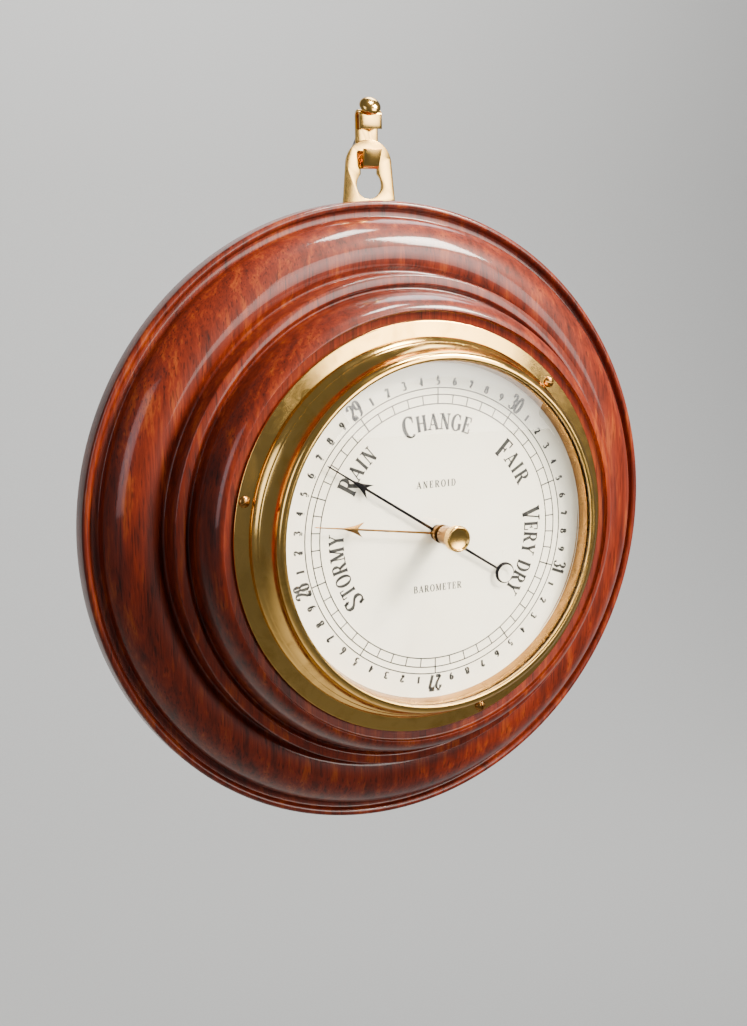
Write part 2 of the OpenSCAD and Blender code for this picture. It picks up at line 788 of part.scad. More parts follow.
module dial_pillars() {
    color(brass) face() for (a = dial_pillar_angles)
        clockwise(a, dial_pillar_pcr) difference() {
            post(1.8, base_top_h, dial_h - 1);
            post(0.7, dial_h - 6, dial_h);
        }
}

module dial_screws() {
    color(steel) face() for (a = dial_pillar_angles)
        clockwise(a, dial_pillar_pcr) translate([0, 0, dial_h]) cheese_screw(1.1, 0.8, 0.7, 4.5);
}

backboard();
hanger_plate();
hanger_screws();
wall_hook();
hook_pin();
hook_pin_head();
case();
flange_screws();
bezel();
glass();
glass_packing();
sight_ring();
dial_plate();
pressure_hand();
set_hand();
set_arbor();
set_knob();
glass_bush();
bush_nut();
base_plate();
base_plate_screws();
adjusting_screw();
capsule_lower();
capsule_upper();
capsule_post();
knife_edge();
spring_bridge();
bridge_screws();
mainspring();
spring_screws();
main_lever();
lever_screws();
lever_link();
rocking_bar();
rocking_brackets();
bracket_screws();
pivot_screws();
chain();
hand_arbor();
arbor_cage();
hand_bridge();
bridge_pillars();
hand_bridge_screws();
hairspring();
dial_pillars();
dial_screws();
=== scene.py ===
"""Looks of a ship's aneroid barometer: brass case and bevelled glass on a turned mahogany board.

Lengths inside the outlines are millimetres. A height is measured from the board's back face towards
the viewer, so it becomes -Y. The dial's axis is the Y axis.
"""

import json
import math

import bpy
from mathutils import Matrix, Vector

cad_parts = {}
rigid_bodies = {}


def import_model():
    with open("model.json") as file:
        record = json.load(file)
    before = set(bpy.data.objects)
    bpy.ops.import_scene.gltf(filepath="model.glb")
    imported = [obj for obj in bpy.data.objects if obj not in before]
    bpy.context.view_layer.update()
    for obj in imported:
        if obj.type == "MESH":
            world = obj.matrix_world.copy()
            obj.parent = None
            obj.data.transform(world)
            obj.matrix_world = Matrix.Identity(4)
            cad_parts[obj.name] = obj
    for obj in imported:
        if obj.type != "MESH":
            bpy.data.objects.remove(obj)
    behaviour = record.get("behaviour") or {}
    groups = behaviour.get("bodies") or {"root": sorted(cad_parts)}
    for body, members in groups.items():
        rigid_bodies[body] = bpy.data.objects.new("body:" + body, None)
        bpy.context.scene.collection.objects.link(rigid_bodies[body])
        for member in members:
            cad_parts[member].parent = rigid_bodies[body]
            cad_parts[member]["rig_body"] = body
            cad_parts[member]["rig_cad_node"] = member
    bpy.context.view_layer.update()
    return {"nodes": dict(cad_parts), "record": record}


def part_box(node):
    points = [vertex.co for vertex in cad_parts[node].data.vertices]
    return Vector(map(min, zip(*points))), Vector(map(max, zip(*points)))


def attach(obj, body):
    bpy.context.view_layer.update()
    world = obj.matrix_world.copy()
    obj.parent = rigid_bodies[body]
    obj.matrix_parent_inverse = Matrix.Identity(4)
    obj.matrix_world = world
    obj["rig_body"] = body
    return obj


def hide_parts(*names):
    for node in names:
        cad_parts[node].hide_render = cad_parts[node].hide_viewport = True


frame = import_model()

bl_info = {
    "name": "Ship's barometer",
    "version": (1, 0, 0),
    "blender": (4, 5, 0),
    "location": "View3D > Sidebar > Barometer",
    "description": "Builds the looks of an aneroid barometer on a turned mahogany board",
    "category": "Object",
}

MM = 0.001
BODY = "barometer"
# Radii and heights of the board's recess, the case, the glass and the dial
ACCESS_R, RECESS_R, RECESS_FLOOR_H, LAND_H = 5, 74, 8, 44.2
CASE_R, CASE_BORE_R, CASE_BACK_H, CASE_FLOOR_H, CASE_RIM_H = 73.5, 72.3, 10, 11.2, 49.2
FLANGE_R, FLANGE_H = 81, 45.6
GLASS_R, GLASS_BACK_H, GLASS_EDGE_H, GLASS_FRONT_H, GLASS_HOLE_R = 67.8, 56.8, 59.0, 60.2, 2.95
BEVEL_R = 60.3
LIP_R, LIP_H = 66.7, 59.8
DIAL_H = 52.0
# Steps round a turned piece, few enough for a light mesh and enough for a smooth edge
STEPS = 192

# The dial's print: thickness of the ink, radii of the scale's three circles, angle of its first line
# and of one tenth of an inch, and the radii of the tenths' and inches' numbers and of the words
INK = 0.04
SCALE_INNER_R, SCALE_MIDDLE_R, SCALE_OUTER_R = 49.6, 53.1, 55.7
FIRST_INCH, FIRST_ANGLE, TENTH_ANGLE, TENTHS = 27, 181.4, 7.2, 50
TENTHS_R, INCHES_R, WORDS_R = 58.2, 59.3, 42.8
FINE_LINE, SCALE_LINE = 0.45, 0.5
WORDS = (("STORMY", 254, 0.13), ("RAIN", 308.5, 0.15), ("CHANGE", 1.2, 0.13), ("FAIR", 54.8, 0.2),
         ("VERY DRY", 105.7, 0.1))


# ---------------------------------------------------------------- colours and nodes

def linear(code):
    """Scene-linear colour of an sRGB hex value."""
    parts = [int(code[i:i + 2], 16) / 255 for i in (1, 3, 5)]
    return tuple(p / 12.92 if p <= 0.04045 else ((p + 0.055) / 1.055) ** 2.4 for p in parts)


def rgba(colour):
    """A colour with full alpha."""
    return (*colour[:3], 1.0)


def add(tree, kind, links=None, values=None, **settings):
    """Add a node with its settings, its sockets' values and the links into its sockets."""
    made = tree.nodes.new(kind)
    for name, value in settings.items():
        setattr(made, name, value)
    for socket, value in (values or {}).items():
        made.inputs[socket].default_value = value
    for socket, source in (links or {}).items():
        tree.links.new(source, made.inputs[socket])
    return made


def set_stops(ramp, stops):
    """Give a colour ramp its stops: position and colour."""
    while len(ramp.color_ramp.elements) > len(stops):
        ramp.color_ramp.elements.remove(ramp.color_ramp.elements[-1])
    while len(ramp.color_ramp.elements) < len(stops):
        ramp.color_ramp.elements.new(1.0)
    for element, (position, colour) in zip(ramp.color_ramp.elements, stops):
        element.position = position
        element.color = rgba(colour)


def start_material(name, **values):
    """A new material's node tree, its Principled shader and the Object coordinates."""
    made = bpy.data.materials.new(name)
    made.use_nodes = True
    tree = made.node_tree
    shader = tree.nodes["Principled BSDF"]
    for socket, value in values.items():
        shader.inputs[socket.replace("_", " ")].default_value = value
    place = add(tree, "ShaderNodeTexCoord").outputs["Object"]
    return made, tree, shader, place


def polished_mahogany(name):
    """French polished mahogany: long wavy grain up the board, dark pores, thin clear gloss."""
    made, tree, shader, place = start_material(
        name, Roughness=0.45, Specular_IOR_Level=0.2, Coat_Weight=0.5,
        Coat_Roughness=0.07, Coat_IOR=1.5)
    tones = bpy.context.scene.barometer_board
    # The plank was cut so that its rings lean 35 degrees through the thickness.
    plank = add(tree, "ShaderNodeMapping", {"Vector": place},
                {"Rotation": (0, 0, math.radians(35)), "Location": (0.013, 0, 0.02)})
    # Ring bands 9 mm apart, drawn out six times along the grain. A wave repeats at 0.314 of its scale.
    drawn = add(tree, "ShaderNodeMapping", {"Vector": plank.outputs[0]}, {"Scale": (1, 1, 0.16)})
    rings = add(tree, "ShaderNodeTexWave", {"Vector": drawn.outputs[0]},
                {"Scale": 0.314 / 0.009, "Distortion": 14.0, "Detail": 3.0, "Detail Scale": 1.6,
                 "Detail Roughness": 0.6}, bands_direction="X")
    # Ribbons of fibre about 5 mm wide
    ribbons = add(tree, "ShaderNodeTexNoise", {"Vector": drawn.outputs[0]},
                  {"Scale": 1 / 0.005, "Detail": 5.0, "Roughness": 0.6, "Distortion": 0.8})
    # Slow change of tone over about 60 mm
    clouds = add(tree, "ShaderNodeTexNoise", {"Vector": place},
                 {"Scale": 1 / 0.06, "Detail": 2.0, "Roughness": 0.5})
    # Fibres 0.9 mm wide and 20 mm long. Real ones are finer, and these are wide enough to show.
    thread = add(tree, "ShaderNodeMapping", {"Vector": plank.outputs[0]}, {"Scale": (1, 1, 0.045)})
    fibres = add(tree, "ShaderNodeTexNoise", {"Vector": thread.outputs[0]},
                 {"Scale": 1 / 0.0009, "Detail": 3.0, "Roughness": 0.65, "Distortion": 0.3})
    # The four are added in these shares: 0.10, 0.55, 0.42 and 0.3.
    figure = add(tree, "ShaderNodeMath", {0: rings.outputs["Fac"]}, {1: 0.10}, operation="MULTIPLY")
    for layer, share in ((ribbons, 0.55), (fibres, 0.42), (clouds, 0.3)):
        figure = add(tree, "ShaderNodeMath", {0: layer.outputs["Fac"], 2: figure.outputs[0]}, {1: share},
                     operation="MULTIPLY_ADD")
    level = add(tree, "ShaderNodeMapRange", {"Value": figure.outputs[0]},
                {"From Min": 0.46, "From Max": 0.98})
    grain = add(tree, "ShaderNodeValToRGB", {"Fac": level.outputs[0]})
    set_stops(grain, [(0.0, tones.dark), (0.5, tones.middle), (1.0, tones.light)])
    # Filled pores: dark dashes 12 mm long, drawn 0.7 mm apart and wider than real ones so that they show
    dash = add(tree, "ShaderNodeMapping", {"Vector": place}, {"Scale": (1, 1, 0.06)})
    pores = add(tree, "ShaderNodeTexNoise", {"Vector": dash.outputs[0]},
                {"Scale": 1 / 0.0007, "Detail": 1.0, "Roughness": 0.5})
    filled = add(tree, "ShaderNodeMapRange", {"Value": pores.outputs["Fac"]},
                 {"From Min": 0.60, "From Max": 0.68})
    shade = add(tree, "ShaderNodeMath", {0: filled.outputs[0]}, {1: 0.55}, operation="MULTIPLY")
    wood = add(tree, "ShaderNodeMix", {"Factor": shade.outputs[0], "A": grain.outputs["Color"]},
               {"B": rgba(tones.pores)}, data_type="RGBA")
    tree.links.new(wood.outputs["Result"], shader.inputs["Base Color"])
    # The polish sinks a little into the fibres.
    sink = add(tree, "ShaderNodeMath", {0: fibres.outputs["Fac"], 1: shade.outputs[0]},
               operation="SUBTRACT")
    ripple = add(tree, "ShaderNodeBump", {"Height": sink.outputs[0]},
                 {"Strength": 0.25, "Distance": 0.00006})
    tree.links.new(ripple.outputs[0], shader.inputs["Normal"])
    soft = add(tree, "ShaderNodeBump", {"Height": sink.outputs[0]},
               {"Strength": 0.12, "Distance": 0.00005})
    tree.links.new(soft.outputs[0], shader.inputs["Coat Normal"])
    return made


def bare_mahogany(name):
    """Unpolished mahogany: the sawn back of the board, dry and a little furry."""
    made, tree, shader, place = start_material(name, Roughness=0.8)
    drawn = add(tree, "ShaderNodeMapping", {"Vector": place}, {"Scale": (1, 1, 0.07)})
    # Saw-cut fibres about 1 mm wide
    fibres = add(tree, "ShaderNodeTexNoise", {"Vector": drawn.outputs[0]},
                 {"Scale": 1 / 0.0012, "Detail": 4.0, "Roughness": 0.6})
    tone = add(tree, "ShaderNodeValToRGB", {"Fac": fibres.outputs["Fac"]})
    set_stops(tone, [(0.3, linear("#3b1c10")), (0.55, linear("#6b3a22")), (0.8, linear("#8a5335"))])
    tree.links.new(tone.outputs["Color"], shader.inputs["Base Color"])
    rough = add(tree, "ShaderNodeBump", {"Height": fibres.outputs["Fac"]},
                {"Strength": 0.5, "Distance": 0.0002})
    tree.links.new(rough.outputs[0], shader.inputs["Normal"])
    return made


def brass(name, tone, stain, shine, dull, spin_marks):
    """Brass: warm yellow metal, fine lathe marks, and old lacquer that is stained in patches."""
    made, tree, shader, place = start_material(name, Metallic=1.0)
    # Stains 12 mm across with frayed edges
    stains = add(tree, "ShaderNodeTexNoise", {"Vector": place},
                 {"Scale": 1 / 0.012, "Detail": 6.0, "Roughness": 0.65, "Distortion": 0.5})
    patch = add(tree, "ShaderNodeMapRange", {"Value": stains.outputs["Fac"]},
                {"From Min": 0.50, "From Max": 0.78, "To Max": 0.7})
    colour = add(tree, "ShaderNodeMix", {"Factor": patch.outputs[0]},
                 {"A": rgba(tone), "B": rgba(stain)}, data_type="RGBA")
    tree.links.new(colour.outputs["Result"], shader.inputs["Base Color"])
    gloss = add(tree, "ShaderNodeMapRange", {"Value": stains.outputs["Fac"]},
                {"From Min": 0.35, "From Max": 0.75, "To Min": shine, "To Max": dull})
    tree.links.new(gloss.outputs[0], shader.inputs["Roughness"])
    # Lathe marks run round the dial's axis. Real ones are 0.1 mm apart, drawn 0.4 mm apart to show.
    flat = add(tree, "ShaderNodeMapping", {"Vector": place}, {"Scale": (1, 0, 1)})
    radius = add(tree, "ShaderNodeVectorMath", {0: flat.outputs[0]}, operation="LENGTH")
    count = add(tree, "ShaderNodeMath", {0: radius.outputs["Value"]}, {1: 1 / 0.0004}, operation="MULTIPLY")
    marks = add(tree, "ShaderNodeTexNoise", {"W": count.outputs[0]}, {"Scale": 1.0, "Detail": 2.0},
                noise_dimensions="1D")
    lines = add(tree, "ShaderNodeBump", {"Height": marks.outputs["Fac"]},
                {"Strength": spin_marks, "Distance": 0.00002})
    tree.links.new(lines.outputs[0], shader.inputs["Normal"])
    return made


def steel(name, tone, roughness):
    """Bright or blued steel and nickel silver: metal with fine scratches from the stone."""
    made, tree, shader, place = start_material(name, Metallic=1.0)
    # Stoned scratches 0.3 mm apart and ten times as long
    long = add(tree, "ShaderNodeMapping", {"Vector": place}, {"Scale": (1, 1, 0.1)})
    scratch = add(tree, "ShaderNodeTexNoise", {"Vector": long.outputs[0]},
                  {"Scale": 1 / 0.0003, "Detail": 3.0})
    colour = add(tree, "ShaderNodeMix", {"Factor": scratch.outputs["Fac"]},
                 {"A": rgba([c * 0.75 for c in tone]), "B": rgba(tone)}, data_type="RGBA")
    tree.links.new(colour.outputs["Result"], shader.inputs["Base Color"])
    gloss = add(tree, "ShaderNodeMapRange", {"Value": scratch.outputs["Fac"]},
                {"To Min": roughness - 0.08, "To Max": roughness + 0.12})
    tree.links.new(gloss.outputs[0], shader.inputs["Roughness"])
    return made


def dial_enamel(name):
    """Silk-matt white paint on the metal dial: slightly warm, with faint yellowing in clouds."""
    made, tree, shader, place = start_material(name, Roughness=0.45)
    tones = bpy.context.scene.barometer_dial
    # Yellowing in clouds 30 mm across
    clouds = add(tree, "ShaderNodeTexNoise", {"Vector": place},
                 {"Scale": 1 / 0.03, "Detail": 5.0, "Roughness": 0.6})
    age = add(tree, "ShaderNodeMapRange", {"Value": clouds.outputs["Fac"]},
              {"From Min": 0.35, "From Max": 0.75, "To Max": 0.6})
    colour = add(tree, "ShaderNodeMix", {"Factor": age.outputs[0]},
                 {"A": rgba(tones.enamel), "B": rgba(tones.yellowing)}, data_type="RGBA")
    tree.links.new(colour.outputs["Result"], shader.inputs["Base Color"])
    # Orange peel 0.8 mm across
    peel = add(tree, "ShaderNodeTexNoise", {"Vector": place}, {"Scale": 1 / 0.0008, "Detail": 2.0})
    skin = add(tree, "ShaderNodeBump", {"Height": peel.outputs["Fac"]},
               {"Strength": 0.08, "Distance": 0.00002})
    tree.links.new(skin.outputs[0], shader.inputs["Normal"])
    return made


def printing_ink(name):
    """Printed black enamel: soft black, thinner here and there, so that it breaks to dark grey."""
    made, tree, shader, place = start_material(name, Roughness=0.5)
    # Uneven cover, in grains of 0.5 mm
    cover = add(tree, "ShaderNodeTexNoise", {"Vector": place},
                {"Scale": 1 / 0.0005, "Detail": 4.0, "Roughness": 0.7})
    tone = add(tree, "ShaderNodeValToRGB", {"Fac": cover.outputs["Fac"]})
    set_stops(tone, [(0.45, linear("#0b0908")), (0.75, linear("#2e2a26"))])
    tree.links.new(tone.outputs["Color"], shader.inputs["Base Color"])
    return made


def clear_glass(name):
    """Clear soda glass, ground and polished: sharp reflections and a bevel that bends the view.

    Lamps reach the dial through it, as they do through thin glass."""
    made, tree, shader, place = start_material(
        name, Transmission_Weight=1.0, Roughness=0.0, IOR=1.5)
    shader.inputs["Base Color"].default_value = rgba(linear("#f4f8f4"))
    # Wiping marks: very faint waves 25 mm long
    waves = add(tree, "ShaderNodeTexNoise", {"Vector": place}, {"Scale": 1 / 0.025, "Detail": 2.0})
    bent = add(tree, "ShaderNodeBump", {"Height": waves.outputs["Fac"]},
               {"Strength": 0.02, "Distance": 0.0001})
    tree.links.new(bent.outputs[0], shader.inputs["Normal"])
    open_to_lamps = add(tree, "ShaderNodeBsdfTransparent")
    rays = add(tree, "ShaderNodeLightPath")
    mix = add(tree, "ShaderNodeMixShader", {0: rays.outputs["Is Shadow Ray"], 1: shader.outputs[0],
                                            2: open_to_lamps.outputs[0]})
    tree.links.new(mix.outputs[0], tree.nodes["Material Output"].inputs["Surface"])
    return made


def packing_paper(name):
    """Grey-brown packing paper, rubbed and fibrous."""
    made, tree, shader, place = start_material(name, Roughness=0.9)
    # Fibres 0.4 mm across
    pulp = add(tree, "ShaderNodeTexNoise", {"Vector": place}, {"Scale": 1 / 0.0004, "Detail": 4.0})
    tone = add(tree, "ShaderNodeValToRGB", {"Fac": pulp.outputs["Fac"]})
    set_stops(tone, [(0.3, linear("#3a2f26")), (0.7, linear("#5c4b3c"))])
    tree.links.new(tone.outputs["Color"], shader.inputs["Base Color"])
    return made


def pale_paper(name):
    """The studio's pale paper sweep: matt, with a barely visible grain."""
    made, tree, shader, place = start_material(name, Roughness=0.9)
    # Fibre clouds 4 mm across
    grain = add(tree, "ShaderNodeTexNoise", {"Vector": place}, {"Scale": 1 / 0.004, "Detail": 4.0})
    tone = add(tree, "ShaderNodeValToRGB", {"Fac": grain.outputs["Fac"]})
    set_stops(tone, [(0.3, linear("#d9d8d5")), (0.7, linear("#deddda"))])
    tree.links.new(tone.outputs["Color"], shader.inputs["Base Color"])
    return made


# ---------------------------------------------------------------- ways of making a piece

def deselect():
    """Leave edit mode with nothing selected."""
    if bpy.context.object and bpy.context.object.mode != "OBJECT":
        bpy.ops.object.mode_set(mode="OBJECT")
    bpy.ops.object.select_all(action="DESELECT")


def arc(cx, cy, rx, ry, start, end, steps):
    """Points of an elliptical arc between two angles in degrees."""
    return [(cx + rx * math.cos(math.radians(start + (end - start) * i / steps)),
             cy + ry * math.sin(math.radians(start + (end - start) * i / steps)))
            for i in range(steps + 1)]


def drawn_outline(name, points):
    """A closed outline drawn point by point by extruding one vertex. It is left in edit mode."""
    deselect()
    bpy.ops.mesh.primitive_plane_add(size=0.001)
    piece = bpy.context.object
    piece.name = piece.data.name = name
    bpy.ops.object.mode_set(mode="EDIT")
    bpy.ops.mesh.select_mode(type="VERT")
    bpy.ops.mesh.select_all(action="SELECT")
    bpy.ops.mesh.merge(type="CENTER")
    bpy.ops.transform.translate(value=points[0])
    for here, there in zip(points, points[1:] + points[:1]):
        bpy.ops.mesh.extrude_region_move(
            TRANSFORM_OT_translate={"value": [b - a for a, b in zip(here, there)]})
    bpy.ops.mesh.select_all(action="SELECT")
    bpy.ops.mesh.remove_doubles(threshold=1e-6)
    return piece


def finish_mesh(piece, smooth=30, bevel=0.0, segments=2, bevel_angle=30):
    """Weld, point the faces outwards, ease the sharp edges and smooth the rest."""
    if bpy.context.object.mode != "EDIT":
        bpy.ops.object.mode_set(mode="EDIT")
    bpy.ops.mesh.select_all(action="SELECT")
    bpy.ops.mesh.remove_doubles(threshold=1e-6)
    bpy.ops.mesh.normals_make_consistent(inside=False)
    bpy.ops.object.mode_set(mode="OBJECT")
    if bevel:
        ease = piece.modifiers.new("eased_edges", "BEVEL")
        ease.width = bevel * MM
        ease.segments = segments
        ease.limit_method = "ANGLE"
        ease.angle_limit = math.radians(bevel_angle)
        ease.harden_normals = False
        bpy.ops.object.modifier_apply(modifier=ease.name)
    bpy.ops.object.shade_smooth_by_angle(angle=math.radians(smooth))
    return piece


def turned(name, outline, **finish):
    """A piece turned on the dial's axis from a closed outline of (radius, height)."""
    piece = drawn_outline(name, [(r * MM, -h * MM, 0) for r, h in outline])
    bpy.ops.mesh.spin(steps=STEPS, angle=math.tau, center=(0, 0, 0), axis=(0, 1, 0))
    return finish_mesh(piece, **finish)


def copied_node(name, node, **finish):
    """A welded copy of a CAD node with its flat faces joined again and its edges eased."""
    deselect()
    source = frame["nodes"][node]
    bpy.context.view_layer.objects.active = source
    source.select_set(True)
    bpy.ops.object.duplicate()
    piece = bpy.context.object
    piece.name = piece.data.name = name
    piece.parent = None
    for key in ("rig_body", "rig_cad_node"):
        if key in piece:
            del piece[key]
    bpy.ops.object.mode_set(mode="EDIT")
    bpy.ops.mesh.select_all(action="SELECT")
    bpy.ops.mesh.remove_doubles(threshold=2e-6)
    bpy.ops.mesh.dissolve_limited(angle_limit=math.radians(0.5))
    return finish_mesh(piece, **finish)


def cut(piece, box_low, box_high):
    """Cut a box out of a piece with a boolean modifier."""
    deselect()
    low, high = Vector(box_low) * MM, Vector(box_high) * MM
    bpy.ops.mesh.primitive_cube_add(size=1, location=(low + high) / 2)
    cutter = bpy.context.object
    cutter.scale = high - low
    bpy.ops.object.transform_apply(location=False, rotation=False, scale=True)
    bpy.context.view_layer.objects.active = piece
    taken = piece.modifiers.new("cut", "BOOLEAN")
    taken.object = cutter
    taken.operation = "DIFFERENCE"
    taken.solver = "EXACT"
    bpy.ops.object.modifier_apply(modifier=taken.name)
    bpy.data.objects.remove(cutter)


def dress(piece, material, body, slot, *nodes):
    """Give a piece its material and body, and hide the CAD nodes that it stands for. The record slot argument
    is not used.
    """
    piece.data.materials.clear()
    piece.data.materials.append(material)
    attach(piece, body)
    if nodes:
        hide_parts(*nodes)


def dress_copies(rows):
    """Ease and dress copies of CAD nodes: new name, node, body, record slot, metal, ease of the edges."""
    for name, node, body, slot, metal, ease in rows:
        dress(copied_node(name, node, bevel=ease, smooth=35), metal, body, slot, node)


def material(name, maker, *values):
    """The named material, made the first time that it's asked for."""
    return bpy.data.materials.get(name) or maker(name, *values)


def bright_brass():
    """Polished and lacquered brass of the case, bezel, knob and hanger: mirror-bright and yellow."""
    tones = bpy.context.scene.barometer_case
    return material("lacquered_brass", brass, tones.brass, tones.stain, 0.10, 0.26, 0.25)


def old_brass():
    """Worn brass of the sight ring, set hand, bush and flange screws: browner and duller."""
    return material("worn_brass", brass, linear("#a87a40"), linear("#664418"), 0.20, 0.38, 0.35)


def brushed_brass():
    """Brushed brass of the movement, with plain tool marks."""
    return material("brushed_brass", brass, linear("#d8a75a"), linear("#a87c3c"), 0.32, 0.48, 0.6)


# ---------------------------------------------------------------- lettering

STEM, HAIRLINE, SERIF_REACH = 0.19, 0.075, 0.15


def ring(cx, cy, rx, ry, start, end):
    """A letter's round part, with a point every 15 degrees."""
    return arc(cx, cy, rx, ry, start, end, max(4, round(abs(end - start) / 15)))


